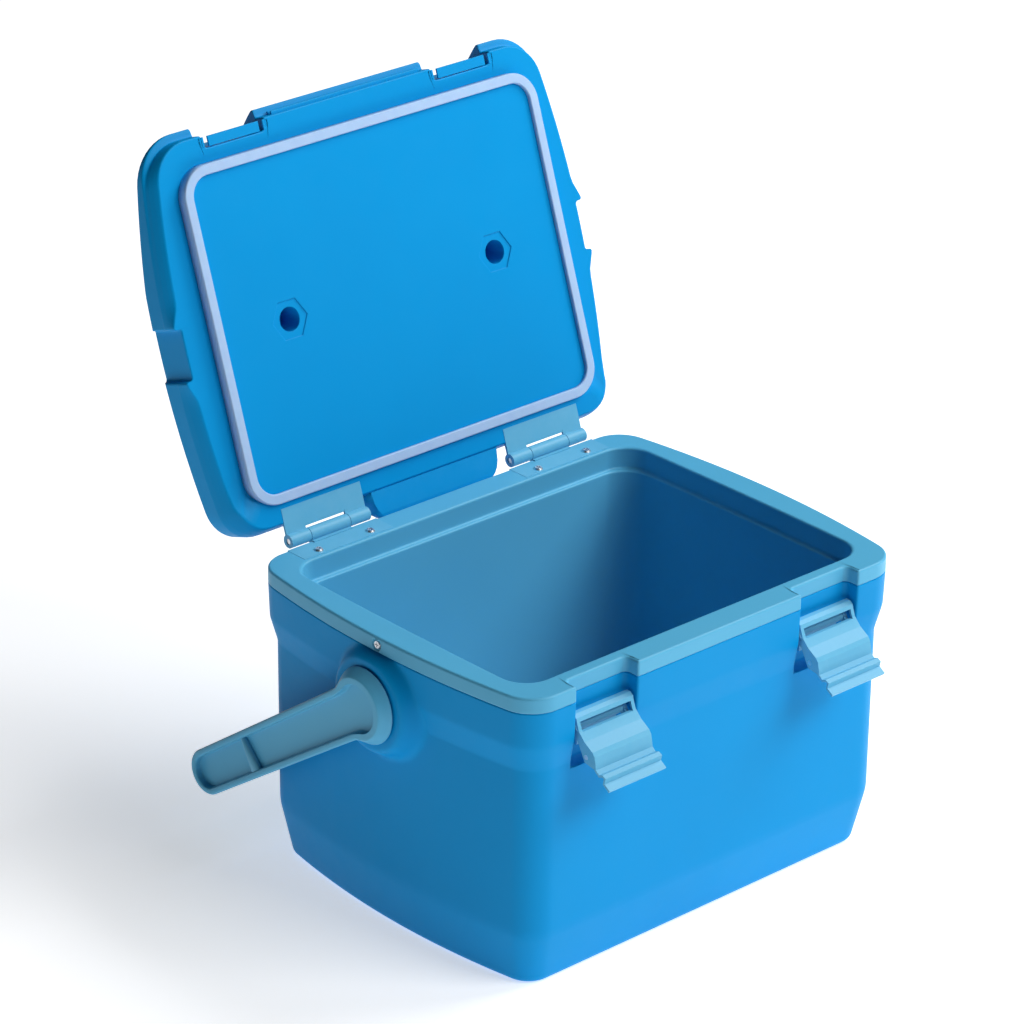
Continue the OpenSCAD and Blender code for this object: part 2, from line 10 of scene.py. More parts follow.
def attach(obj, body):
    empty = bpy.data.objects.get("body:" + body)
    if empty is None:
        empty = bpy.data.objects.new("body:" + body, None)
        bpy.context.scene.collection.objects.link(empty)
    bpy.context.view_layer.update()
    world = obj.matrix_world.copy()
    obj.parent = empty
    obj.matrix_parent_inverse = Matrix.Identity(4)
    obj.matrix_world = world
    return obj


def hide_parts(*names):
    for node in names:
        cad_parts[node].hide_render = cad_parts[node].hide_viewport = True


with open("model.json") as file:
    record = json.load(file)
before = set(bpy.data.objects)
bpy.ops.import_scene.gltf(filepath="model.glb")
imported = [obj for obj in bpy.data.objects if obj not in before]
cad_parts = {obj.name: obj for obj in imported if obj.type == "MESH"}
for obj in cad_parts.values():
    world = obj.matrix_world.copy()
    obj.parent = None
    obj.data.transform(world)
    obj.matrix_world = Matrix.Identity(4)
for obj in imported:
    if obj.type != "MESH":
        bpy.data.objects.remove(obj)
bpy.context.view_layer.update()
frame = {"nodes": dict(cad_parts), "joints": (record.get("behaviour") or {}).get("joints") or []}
print("frame loaded:", len(frame["nodes"]), "nodes")

mm = 0.001
joints = {j["name"]: j for j in frame["joints"]}


# ---- small helpers ----

def lerp(a, b, t):
    return a + (b - a) * t


def spread(a, b, step):
    # even values from a to b, no further apart than step
    count = max(1, math.ceil(abs(b - a) / step - 1e-6))
    return [lerp(a, b, i / count) for i in range(count + 1)]


def rowHeights(bands):
    # heights up through several bands of [from, to, step]
    heights = [bands[0][0]]
    for low, high, step in bands:
        heights += spread(low, high, step)[1:]
    return heights


def alongLevels(levels, z, column):
    # value of one column of a level table at height z, straight between levels
    if z <= levels[0][0]:
        return levels[0][column]
    for low, high in zip(levels, levels[1:]):
        if z <= high[0]:
            return lerp(low[column], high[column], (z - low[0]) / (high[0] - low[0]))
    return levels[-1][column]


def softLevel(levels, z, column, soft):
    # the same value with its corners rounded over +-soft
    steps = [-1, -0.75, -0.5, -0.25, 0, 0.25, 0.5, 0.75, 1]
    return sum(alongLevels(levels, z + s * soft, column) for s in steps) / len(steps)


def softMax(a, b, k):
    # the larger of two heights, with a hollow fillet about k wide where they cross
    h = max(k - abs(a - b), 0) / k
    return max(a, b) + h * h * k / 4


def rounding(radius, steps):
    # quarter round as (drop from the top, inset), from the side up to the top
    turns = [math.pi / 2 * i / steps for i in range(steps + 1)]
    return [(radius * (1 - math.sin(a)), radius * (1 - math.cos(a))) for a in turns]


# ---- plan outlines: bowed sides, straight front and back, corner rounds and cut-in notches ----

def notchEdge(edge, outward, outer, inner):
    # columns over one side wall of a notch, from its back wall out to the face:
    # (place along the face, what the depth is measured from, that depth)
    turns = [math.pi / 2 * i / 4 for i in range(5)]
    columns = [(edge - outward * inner * (1 - math.sin(a)), "back", inner * (1 - math.cos(a))) for a in turns]
    columns += [
        (edge + outward * outer * (1 - math.cos(a)), "face", outer * (1 - math.sin(a))) for a in turns]
    return columns


def notchDepth(column, depth):
    if column[1] == "face":
        return min(column[2], depth)
    return max(depth - column[2], 0)


def planRing(columns, ring):
    # one closed outline; ring holds w, d and r, and may hold bow, frontR, inset, mid and the notch
    # depths front and side; the default bow is as good as straight
    halfW, halfD, bow, r = ring["w"] / 2, ring["d"] / 2, ring.get("bow", 0.02), ring["r"]
    sideR = (halfD ** 2 + bow ** 2) / (2 * bow)
    sideC = halfW + bow - sideR
    frontR = ring.get("frontR", r)
    lean = math.asin((halfD - frontR) / (sideR - frontR))
    cornerX = sideC + (sideR - frontR) * math.cos(lean)
    cornerY = halfD - frontR
    frontEnd = columns["front"][-1][0]
    sideEnd = columns["side"][-1][0]
    squeeze = min(1, cornerX / frontEnd)
    half = [(c[0] * squeeze, -halfD + notchDepth(c, ring.get("front", 0))) for c in columns["front"]]
    half.append(((frontEnd * squeeze + cornerX) / 2, -halfD))
    corner = [lerp(-math.pi / 2, -lean, i / 10) for i in range(11)]
    half += [(cornerX + frontR * math.cos(a), -cornerY + frontR * math.sin(a)) for a in corner]
    for y in [lerp(-sideR * math.sin(lean), -sideEnd, i / 5) for i in range(1, 5)]:
        half.append((sideC + math.sqrt(sideR ** 2 - y * y), y))
    for c in columns["side"]:
        x = sideC + math.sqrt(sideR ** 2 - c[0] ** 2)
        half.append((x - notchDepth(c, ring.get("side", 0)), c[0]))
    lean = math.asin((halfD - r) / (sideR - r))
    cornerX = sideC + (sideR - r) * math.cos(lean)
    cornerY = halfD - r
    corner = [lerp(-math.pi / 2, -lean, i / 10) for i in range(11)]
    for y in [lerp(sideEnd, sideR * math.sin(lean), i / 5) for i in range(1, 5)]:
        half.append((sideC + math.sqrt(sideR ** 2 - y * y), y))
    half += [(cornerX + r * math.cos(a), cornerY - r * math.sin(a)) for a in reversed(corner)]
    half += [(cornerX * (1 - i / 8), halfD) for i in range(1, 9)]
    points = half + [(-x, y) for x, y in reversed(half[1:-1])]
    points = insetLoop(points, ring.get("inset", 0))
    return [(x, y + ring.get("mid", 0)) for x, y in points]


def insetLoop(points, inset):
    # a closed loop moved inwards (counter-clockwise loop), square to itself
    if abs(inset) < 1e-9:
        return points
    n = len(points)
    moved = []
    for i, p in enumerate(points):
        before, after = i - 1, i + 1
        while math.dist(points[before % n], p) < 1e-6:
            before -= 1
        while math.dist(points[after % n], p) < 1e-6:
            after += 1
        a, b = points[before % n], points[after % n]
        ab = math.hypot(p[0] - a[0], p[1] - a[1])
        bc = math.hypot(b[0] - p[0], b[1] - p[1])
        nx = -(p[1] - a[1]) / ab - (b[1] - p[1]) / bc
        ny = (p[0] - a[0]) / ab + (b[0] - p[0]) / bc
        size = max(math.hypot(nx, ny), 0.6)
        moved.append((p[0] + nx / size * inset * 2 / size, p[1] + ny / size * inset * 2 / size))
    return moved


# ---- meshes ----

weldMm = 0.004


def loftMesh(name, rings, capStart=True, capEnd=True, closed=False):
    # skin through equal rings of points given in millimetres; closed joins the last to the first
    made = bmesh.new()
    rows = [[made.verts.new(Vector(p) * mm) for p in ring] for ring in rings]
    n = len(rows[0])
    pairs = list(zip(rows, rows[1:])) + ([(rows[-1], rows[0])] if closed else [])
    for low, high in pairs:
        for i in range(n):
            j = (i + 1) % n
            made.faces.new((low[i], low[j], high[j], high[i]))
    if capStart:
        made.faces.new(list(reversed(rows[0])))
    if capEnd:
        made.faces.new(rows[-1])
    return finishMesh(name, made)


def finishMesh(name, made):
    # welded, with its level faces flat and all others smooth
    bmesh.ops.remove_doubles(made, verts=made.verts, dist=weldMm * mm)
    bmesh.ops.dissolve_degenerate(made, edges=made.edges, dist=weldMm * mm)
    bmesh.ops.recalc_face_normals(made, faces=made.faces)
    for face in made.faces:
        face.smooth = abs(face.normal.z) < 0.99999
    mesh = bpy.data.meshes.new(name)
    made.to_mesh(mesh)
    made.free()
    piece = bpy.data.objects.new(name, mesh)
    bpy.context.scene.collection.objects.link(piece)
    return piece


def addModifier(piece, kind, name, **settings):
    modifier = piece.modifiers.new(name, kind)
    for key, value in settings.items():
        setattr(modifier, key, value)
    return modifier


def softenEdges(piece, widthMm, degrees, segments=2):
    addModifier(
        piece, "BEVEL", "softEdges", width=widthMm * mm, segments=segments, limit_method="ANGLE",
        angle_limit=math.radians(degrees))


def joinPieces(name, pieces):
    # several meshes into one piece, modifiers applied
    depsgraph = bpy.context.evaluated_depsgraph_get()
    made = bmesh.new()
    for piece in pieces:
        mesh = bpy.data.meshes.new_from_object(piece.evaluated_get(depsgraph))
        mesh.transform(piece.matrix_world)
        made.from_mesh(mesh)
        bpy.data.objects.remove(piece)
    mesh = bpy.data.meshes.new(name)
    made.to_mesh(mesh)
    made.free()
    joined = bpy.data.objects.new(name, mesh)
    bpy.context.scene.collection.objects.link(joined)
    return joined


def softBox(name, low, high, bevel):
    made = bmesh.new()
    bmesh.ops.create_cube(made, size=1)
    for v in made.verts:
        v.co = Vector([lerp(low[k], high[k], v.co[k] + 0.5) * mm for k in range(3)])
    bmesh.ops.bevel(made, geom=made.edges[:], offset=bevel * mm, segments=3, profile=0.5, affect="EDGES")
    return finishMesh(name, made)


def weighNormals(piece):
    addModifier(piece, "WEIGHTED_NORMAL", "flatFaces", weight=60, keep_sharp=True)


def place(piece, body, slot, material, *nodes):
    piece.data.transform(piece.matrix_world)
    piece.matrix_world = Matrix.Identity(4)
    piece.data.materials.clear()
    piece.data.materials.append(material)
    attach(piece, body)
    if nodes:
        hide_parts(*nodes)


# ---- materials ----

def linear(hexColour):
    channels = [int(hexColour[i:i + 2], 16) / 255 for i in (1, 3, 5)]
    return [c / 12.92 if c <= 0.04045 else ((c + 0.055) / 1.055) ** 2.4 for c in channels] + [1]


def addNode(tree, kind, inputs=(), **settings):
    node = tree.nodes.new(kind)
    for key, value in settings.items():
        setattr(node, key, value)
    for key, value in dict(inputs).items():
        if isinstance(value, bpy.types.NodeSocket):
            tree.links.new(value, node.inputs[key])
        else:
            node.inputs[key].default_value = value
    return node


def newMaterial(name):
    material = bpy.data.materials.new(name)
    material.use_nodes = True
    material.node_tree.nodes.clear()
    return material, material.node_tree


def perMetre(sizeMm):
    # noise scale whose features are about this many millimetres across
    return 1 / (sizeMm * mm)


def mouldedPlastic(name, look):
    # Injection-moulded polypropylene: an even satin skin off a spark-eroded mould, a faint long
    # waviness where the thick parts cooled, drifting gloss, and paler edges, partly handling wear and partly
    # painted highlight.
    material, tree = newMaterial(name)
    where = addNode(tree, "ShaderNodeTexCoord").outputs["Object"]
    drift = addNode(tree, "ShaderNodeTexNoise", {
        "Vector": where, "Scale": perMetre(look["driftMm"]), "Detail": 3.0}).outputs["Fac"]
    grain = addNode(tree, "ShaderNodeTexNoise", {
        "Vector": where, "Scale": perMetre(look["grainMm"]), "Detail": 2.0, "Roughness": 0.6}).outputs["Fac"]
    sink = addNode(tree, "ShaderNodeTexNoise", {
        "Vector": where, "Scale": perMetre(look["sinkMm"]), "Detail": 1.0}).outputs["Fac"]
    rub = addNode(tree, "ShaderNodeTexNoise", {
        "Vector": where, "Scale": perMetre(look["rubMm"]), "Detail": 6.0, "Roughness": 0.7}).outputs["Fac"]
    body = addNode(tree, "ShaderNodeMix", {
        "Factor": drift, "A": linear(look["deep"]), "B": linear(look["colour"])}, data_type="RGBA")
    # pointiness lightens the sharp edges, broken up by the rub noise: partly rubbed wear, partly a painted
    # highlight along the edges
    edge = addNode(tree, "ShaderNodeMapRange", {
        "Value": addNode(tree, "ShaderNodeNewGeometry").outputs["Pointiness"],
        "From Min": 0.52, "From Max": 0.6, "To Max": look["edgeWearAndHighlight"]}).outputs["Result"]
    wornAndHighlitEdge = addNode(tree, "ShaderNodeMath", {0: edge, 1: rub}, operation="MULTIPLY").outputs[0]
    skin = addNode(tree, "ShaderNodeMix", {
        "Factor": wornAndHighlitEdge, "A": body.outputs["Result"], "B": linear(look["pale"])}, data_type="RGBA")
    gloss = addNode(tree, "ShaderNodeMapRange", {
        "Value": rub, "From Min": 0.3, "From Max": 0.7,
        "To Min": look["roughness"] - 0.04, "To Max": look["roughness"] + 0.05}).outputs["Result"]
    waves = addNode(tree, "ShaderNodeBump", {
        "Height": sink, "Strength": 1.0, "Distance": look["sinkDeepMm"] * mm})
    grained = addNode(tree, "ShaderNodeBump", {
        "Height": grain, "Strength": 1.0, "Distance": look["grainDeepMm"] * mm, "Normal": waves.outputs[0]})
    shader = addNode(tree, "ShaderNodeBsdfPrincipled", {
        "Base Color": skin.outputs["Result"], "Roughness": gloss, "Normal": grained.outputs[0],
        "IOR": 1.49, "Specular IOR Level": look["sheen"]})
    addNode(tree, "ShaderNodeOutputMaterial", {"Surface": shader.outputs[0]})
    return material


# a spark-eroded mould leaves a grain near 0.3 mm; drawn at 0.9 mm so that it shows at this size
plasticLook = {
    "driftMm": 90, "grainMm": 0.9, "grainDeepMm": 0.012, "sinkMm": 55, "sinkDeepMm": 0.5,
    "rubMm": 12, "edgeWearAndHighlight": 0.25, "roughness": 0.44, "sheen": 0.1}
# the pale edge colour is partly worn plastic and partly a painted highlight
azurePlastic = mouldedPlastic("polypropyleneMouldedAzure", {
    **plasticLook, "colour": "#0099DC", "deep": "#0092D6", "pale": "#45AEE8"})
skyPlastic = mouldedPlastic("polypropyleneMouldedSky", {
    **plasticLook, "colour": "#5EB6DC", "deep": "#55AED6", "pale": "#A8D8EE", "roughness": 0.38,
    "sheen": 0.2})


def mouldedSilicone(look):
    # Compression-moulded silicone seal: matt and a little waxy, with fine lines drawn along
    # its length by the mould and a soft bloom of paler dust.
    material, tree = newMaterial("siliconeMouldedLavender")
    where = addNode(tree, "ShaderNodeTexCoord").outputs["Object"]
    bloom = addNode(tree, "ShaderNodeTexNoise", {
        "Vector": where, "Scale": perMetre(look["bloomMm"]), "Detail": 5.0}).outputs["Fac"]
    fine = addNode(tree, "ShaderNodeTexNoise", {
        "Vector": where, "Scale": perMetre(look["fineMm"]), "Detail": 3.0}).outputs["Fac"]
    skin = addNode(tree, "ShaderNodeMix", {
        "Factor": bloom, "A": linear(look["colour"]), "B": linear(look["bloom"])}, data_type="RGBA")
    bump = addNode(tree, "ShaderNodeBump", {"Height": fine, "Distance": look["fineDeepMm"] * mm})
    rough = addNode(tree, "ShaderNodeMapRange", {
        "Value": bloom, "To Min": 0.5, "To Max": 0.68}).outputs["Result"]
    shader = addNode(tree, "ShaderNodeBsdfPrincipled", {
        "Base Color": skin.outputs["Result"], "Roughness": rough, "Normal": bump.outputs[0],
        "IOR": 1.41, "Subsurface Weight": 0.12, "Subsurface Scale": 1.5 * mm})
    addNode(tree, "ShaderNodeOutputMaterial", {"Surface": shader.outputs[0]})
    return material


siliconeSeal = mouldedSilicone({
    "colour": "#9FC0E8", "bloom": "#AFCCEE", "bloomMm": 8, "fineMm": 1.0, "fineDeepMm": 0.02})


def platedSteel(look):
    # Zinc-plated steel, turned and tumbled: bright, with ring marks from turning and a
    # faint cloudy patchiness from the plating bath.
    material, tree = newMaterial("steelZincPlatedTurned")
    where = addNode(tree, "ShaderNodeTexCoord").outputs["Object"]
    cloud = addNode(tree, "ShaderNodeTexNoise", {
        "Vector": where, "Scale": perMetre(look["cloudMm"]), "Detail": 4.0}).outputs["Fac"]
    marks = addNode(tree, "ShaderNodeTexNoise", {
        "Vector": where, "Scale": perMetre(look["markMm"]), "Detail": 2.0}).outputs["Fac"]
    skin = addNode(tree, "ShaderNodeMix", {
        "Factor": cloud, "A": linear(look["colour"]), "B": linear(look["dull"])}, data_type="RGBA")
    rough = addNode(tree, "ShaderNodeMapRange", {
        "Value": cloud, "From Min": 0.3, "From Max": 0.7, "To Min": 0.32, "To Max": 0.48}).outputs["Result"]
    bump = addNode(tree, "ShaderNodeBump", {"Height": marks, "Distance": look["markDeepMm"] * mm})
    shader = addNode(tree, "ShaderNodeBsdfPrincipled", {
        "Base Color": skin.outputs["Result"], "Roughness": rough, "Normal": bump.outputs[0],
        "Metallic": 1.0})
    addNode(tree, "ShaderNodeOutputMaterial", {"Surface": shader.outputs[0]})
    return material


zincSteel = platedSteel({
    "colour": "#E6E8EB", "dull": "#D2D5DA", "cloudMm": 2, "markMm": 0.5, "markDeepMm": 0.01})


def foamCore(look):
    # Polyurethane foam blown in place: cream, dull, with closed cells under a millimetre
    # that catch the light as pin pricks.
    material, tree = newMaterial("polyurethaneFoamBlown")
    where = addNode(tree, "ShaderNodeTexCoord").outputs["Object"]
    cells = addNode(tree, "ShaderNodeTexVoronoi", {
        "Vector": where, "Scale": perMetre(look["cellMm"])}).outputs["Distance"]
    stain = addNode(tree, "ShaderNodeTexNoise", {
        "Vector": where, "Scale": perMetre(look["stainMm"]), "Detail": 4.0}).outputs["Fac"]
    skin = addNode(tree, "ShaderNodeMix", {
        "Factor": stain, "A": linear(look["colour"]), "B": linear(look["stain"])}, data_type="RGBA")
    bump = addNode(tree, "ShaderNodeBump", {"Height": cells, "Distance": look["cellDeepMm"] * mm})
    rough = addNode(tree, "ShaderNodeMapRange", {
        "Value": stain, "To Min": 0.8, "To Max": 0.95}).outputs["Result"]
    shader = addNode(tree, "ShaderNodeBsdfPrincipled", {
        "Base Color": skin.outputs["Result"], "Roughness": rough, "Normal": bump.outputs[0], "IOR": 1.5})
    addNode(tree, "ShaderNodeOutputMaterial", {"Surface": shader.outputs[0]})
    return material


blownFoam = foamCore({
    "colour": "#EFE3BE", "stain": "#E2D09C", "cellMm": 0.9, "cellDeepMm": 0.2, "stainMm": 25})


def nylonDisc(look):
    # Nylon washer, stamped from extruded strip: milky white with a low sheen and draw lines.
    material, tree = newMaterial("nylonStampedNatural")
    where = addNode(tree, "ShaderNodeTexCoord").outputs["Object"]
    lines = addNode(tree, "ShaderNodeTexWave", {
        "Vector": where, "Scale": perMetre(look["lineMm"]) / 6.28, "Distortion": 1.5,
        "Detail": 2.0}).outputs["Fac"]
    skin = addNode(tree, "ShaderNodeMix", {
        "Factor": lines, "A": linear(look["colour"]), "B": linear(look["shade"])}, data_type="RGBA")
    bump = addNode(tree, "ShaderNodeBump", {"Height": lines, "Distance": 0.01 * mm})
    rough = addNode(tree, "ShaderNodeMapRange", {
        "Value": lines, "To Min": 0.4, "To Max": 0.5}).outputs["Result"]
    shader = addNode(tree, "ShaderNodeBsdfPrincipled", {
        "Base Color": skin.outputs["Result"], "Roughness": rough, "Normal": bump.outputs[0], "IOR": 1.53})
    addNode(tree, "ShaderNodeOutputMaterial", {"Surface": shader.outputs[0]})
    return material


naturalNylon = nylonDisc({"colour": "#EDEBE2", "shade": "#E1DED2", "lineMm": 0.8})
print("materials made")


# ---- outer shell ----

shellSize = {
    "w": 288, "d": 238, "bow": 11, "corner": 21, "top": 179.3,
    # height, inset at the sides, inset at front and back
    "levels": [
        [0, 10.4, 11.3], [33, 5.2, 4.3], [37, 4.9, 3.9], [141.3, 4.6, 3.6], [157.3, 0.6, 0.6], [179.3, 0, 0]],
    "bottomRound": 3.5, "topRound": 0.9,
    "rows": [
        [0, 8, 1], [8, 29, 3], [29, 41, 1], [41, 106, 6], [106, 134, 1.6], [134, 141, 0.5],
        [141, 178.2, 1.3]],
    # shallow recess in the underside: inset from the foot, height
    "underIn": [[9, 1.2], [7.9, 0.1], [7.4, 0]], "underCap": 0.86, "underDeep": 1.2,
    "recessMid": 88.1, "recessW": 46.6, "recessBack": 109, "recessFloor": 139, "recessSlope": 2.69,
    "recessEdgeR": 1.3, "recessInnerR": 3.5,
    "bossZ": 148.2, "bossR": 28.8, "bossX": 162, "bossFootR": 37, "bossFootX": 148.6, "bossSoft": 3.5,
    "bossTop": 178.9, "bossTopRound": 3.2, "bossReach": 43, "bossFrom": 120}


def frontColumns(end):
    # places along the right half of the front, with both side walls of the latch recess
    s = shellSize
    near, far = s["recessMid"] - s["recessW"] / 2, s["recessMid"] + s["recessW"] / 2
    columns = [(x, "face", 0) for x in spread(0, near - 2, 8)]
    columns += list(reversed(notchEdge(near, -1, s["recessEdgeR"], s["recessInnerR"])))
    columns += [(x, "back", 0) for x in spread(near + 6, far - 6, 5)]
    columns += notchEdge(far, 1, s["recessEdgeR"], s["recessInnerR"])
    return columns + [(end, "face", 0)]


def shellSideColumns(reach, step, end, wide):
    # places along a side: fine near the middle, where the screw hole is, wider further out
    near = spread(-reach, reach, step)
    far = spread(reach, end, wide)[1:]
    places = [-y for y in reversed(far)] + near + far
    return [(y, "face", 0) for y in places]


shellColumns = {"front": frontColumns(115), "side": shellSideColumns(4.2, 0.6, 46, 1.4)}


def bodyRing(side, front, inset=0, depth=0):
    return {
        "w": shellSize["w"] - 2 * side, "d": shellSize["d"] - 2 * front, "bow": shellSize["bow"],
        "r": shellSize["corner"] - (side + front) / 4, "inset": inset, "front": depth}


def recessBackAt(z):
    # distance of the recess wall in front of the middle, sloping out under its floor
    s = shellSize
    return s["recessBack"] + s["recessSlope"] * softMax(s["recessFloor"] - z, 0, 1.5)


def shellSkin():
    s = shellSize
    under = planRing(shellColumns, bodyRing(*footInset(0, s["underIn"][0][0])))
    rings = [[(x * s["underCap"], y * s["underCap"], s["underDeep"]) for x, y in under]]
    for inset, z in s["underIn"]:
        rings.append([(x, y, z) for x, y in planRing(shellColumns, bodyRing(*footInset(0, inset)))])
    for z in rowHeights(s["rows"]):
        round_ = s["bottomRound"]
        tuck = round_ - math.sqrt(round_ ** 2 - (round_ - z) ** 2) if z < round_ else 0
        rings.append(shellRow(z, tuck))
    for drop, inset in rounding(s["topRound"], 4):
        rings.append(shellRow(s["top"] - drop, inset))
    rings.append(shellRow(s["top"], s["topRound"] + 1.5))
    return loftMesh("outerShell", rings, capEnd=False)


def footInset(z, extra):
    side, front = (softLevel(shellSize["levels"], z, k, 1.5) for k in (1, 2))
    return side + extra, front + extra


def shellRow(z, inset):
    s = shellSize
    side, front = footInset(z, 0)
    depth = max(0, s["d"] / 2 - front - recessBackAt(z))
    row = []
    for x, y in planRing(shellColumns, bodyRing(side, front, inset, depth)):
        away = math.hypot(y, z - s["bossZ"])
        if away < s["bossReach"] and abs(x) > s["bossFrom"]:
            slope = (s["bossX"] - s["bossFootX"]) / (s["bossFootR"] - s["bossR"])
            cone = s["bossX"] - slope * (away - s["bossR"])
            boss = softMax(abs(x), -softMax(-cone, -s["bossX"], 3), s["bossSoft"])
            under = min(max((s["bossTop"] - z) / s["bossTopRound"], 0), 1)
            x = math.copysign(lerp(abs(x), boss, math.sqrt(1 - (1 - under) ** 2)), x)
        row.append((x, y, z))
    return row


outerShell = shellSkin()
weighNormals(outerShell)
place(outerShell, "tub", "azure_plastic", azurePlastic, "outer_shell")
print("outer shell made")


# ---- inner liner: rim, lip, ledge and cavity ----

linerSize = {
    "bottom": 179.3, "top": 188.85, "outerRound": 1.5, "lipRound": 1.6,
    "mouthW": 269, "mouthD": 201, "mouthBow": 1.2, "mouthR": 18,
    "ledgeZ": 175.5, "ledgeW": 3.6, "ledgeRound": 1.2, "draft": 5, "floorZ": 30, "floorRound": 11,
    "ledgeHollow": 1.4, "lipDraft": 0.6, "softEdge": 0.4,
    # hidden back of the cavity wall: height, inset from the mouth
    "backing": [[27.5, 8], [168, 1.1], [174, -2.5], [179.3, -2.5]],
    "screwZ": 183.8, "screwR": 3.35, "screwDeep": 1.2, "screwFrom": 150,
    "rowsBelow": 3.6, "rowsAbove": 3.4}


def mouthRing(inset):
    s = linerSize
    return {
        "w": s["mouthW"] - 2 * inset, "d": s["mouthD"] - 2 * inset, "bow": s["mouthBow"], "r": s["mouthR"]}


def linerSkin():
    s = linerSize
    depth = shellSize["d"] / 2 - shellSize["recessBack"]
    rings = []

    def outer(z, inset):
        row = []
        for x, y in planRing(shellColumns, bodyRing(0, 0, inset, depth)):
            if math.hypot(y, z - s["screwZ"]) < s["screwR"] and abs(x) > s["screwFrom"]:
                x -= math.copysign(s["screwDeep"], x)
            row.append((x, y, z))
        rings.append(row)

    def mouth(z, inset):
        rings.append([(x, y, z) for x, y in planRing(shellColumns, mouthRing(inset))])

    edge = s["softEdge"]
    for z, inset in s["backing"]:
        mouth(z, inset)
    outer(s["bottom"], edge)
    outer(s["bottom"] + edge, 0)
    # rows close enough to draw the screw holes
    for z in spread(s["screwZ"] - s["rowsBelow"], s["screwZ"] + s["rowsAbove"], 0.5):
        outer(z, 0)
    for drop, inset in rounding(s["outerRound"], 5):
        outer(s["top"] - drop, inset)
    outer(s["top"], s["outerRound"] + edge)
    mouth(s["top"], -s["lipRound"] - edge)
    for drop, inset in reversed(rounding(s["lipRound"], 5)):
        mouth(s["top"] - drop, -inset)
    for drop, inset in rounding(s["ledgeHollow"], 4):
        mouth(s["ledgeZ"] + drop, s["lipDraft"] + inset)
    mouth(s["ledgeZ"], s["ledgeW"] - s["ledgeRound"])
    for drop, inset in reversed(rounding(s["ledgeRound"], 4)):
        mouth(s["ledgeZ"] - drop, s["ledgeW"] - inset)
    for z in spread(s["ledgeZ"] - 6, s["floorZ"] + s["floorRound"] + 2, 12):
        mouth(z, lerp(s["ledgeW"], s["ledgeW"] + s["draft"], (s["ledgeZ"] - z) / (s["ledgeZ"] - s["floorZ"])))
    foot = s["ledgeW"] + s["draft"]
    for drop, inset in rounding(s["floorRound"], 7):
        mouth(s["floorZ"] + drop, foot + inset)
    mouth(s["floorZ"], foot + s["floorRound"] + 3)
    return loftMesh("innerLiner", rings)


innerLiner = linerSkin()
weighNormals(innerLiner)
place(innerLiner, "tub", "sky_plastic", skyPlastic, "inner_liner")
print("liner made")


sealSize = {
    "outerW": 273.4, "outerD": 203.4, "outerR": 19,
    # inset from the outer wall, height
    "profile": [
        (0, 0), (0, -1.9), (0.2, -2.35), (0.65, -2.6), (5.55, -2.6), (6, -2.35), (6.2, -1.9), (6.2, 0)]}


# ---- lid, drawn shut with the hinge line as its origin ----

lidJoint = joints["lid_hinge"]
lidOpen = math.radians(lidJoint["range_deg"][1])
lidPlace = Matrix.Translation(Vector(lidJoint["pos_m"])) @ Matrix.Rotation(-lidOpen, 4, "X")

lidSize = {
    "w": 298, "rear": -6.5, "front": -247, "bow": 11, "corner": 24, "frontCorner": 28.5, "h": 36,
    "notchBack": 234.6, "channelX": 155, "channelHalf": 15.5, "channelMid": -123, "earLong": 15, "earTop": 14,
    "sideFrom": 125, "sideReach": 40, "frontFrom": -150, "frontBlend": 60,
    # height, inset at the sides, inset at the front
    "levels": [
        [4.4, 4.6, 4.7], [7, 2.8, 4.7], [10, 1.3, 4.7], [12.6, 0.5, 4.7], [13.2, 0.35, 0.4],
        [14, 0.2, 0], [26, 0.2, 0.2], [28.5, 2.2, 2.2], [34, 9.8, 9.8], [35.4, 13.5, 13.5], [36, 17, 17]],
    # the shoulder comes down towards the front: height, share of the fall
    "fall": [[14, 0], [26, 1], [28.5, 1], [34, 0.7], [35.4, 0.3], [36, 0]],
    "fallFrom": -160, "fallSlope": 0.115,
    "panW": 267.2, "panD": 197.2, "panR": 12, "panMid": -124.8,
    "margin": 4.4, "rearMargin": 0.2, "rearReach": [138, 156], "rearDepth": [-34, -25], "rearBlend": 13,
    "seat": 0.15, "seatTuck": 0.4, "holeDeep": 2.4, "lipRound": 0.9,
    "rows": [[5.8, 14.6, 0.45], [14.6, 25.2, 1.8], [25.2, 30, 0.6]], "topRows": [30.6, 35.6, 0.8],
    "channelEdgeR": 1.6, "channelInnerR": 2.2}


def lidSideColumns():
    s = lidSize
    mid = s["channelMid"] - (s["rear"] + s["front"]) / 2
    low, high = mid - s["channelHalf"], mid + s["channelHalf"]
    columns = [(y, "face", 0) for y in spread(-40, low - 3, 5)]
    columns += list(reversed(notchEdge(low, -1, s["channelEdgeR"], s["channelInnerR"])))
    columns += [(y, "back", 0) for y in spread(low + 4, high - 4, 5)]
    columns += notchEdge(high, 1, s["channelEdgeR"], s["channelInnerR"])
    return columns + [(y, "face", 0) for y in spread(high + 3, 40, 5)]


lidColumns = {"front": frontColumns(113.5), "side": lidSideColumns()}


def ramp(a, b, v):
    # 0 at a, 1 at b, eased at both ends
    t = min(max((v - a) / (b - a), 0), 1)
    return t * t * (3 - 2 * t)


def marginAt(x, y):
    # the underside's margin lies deeper than the pan, and comes up level with it at the hinges
    s = lidSize
    near = (1 - ramp(*s["rearReach"], abs(x))) * ramp(*s["rearDepth"], y)
    return lerp(s["margin"], s["rearMargin"], near)


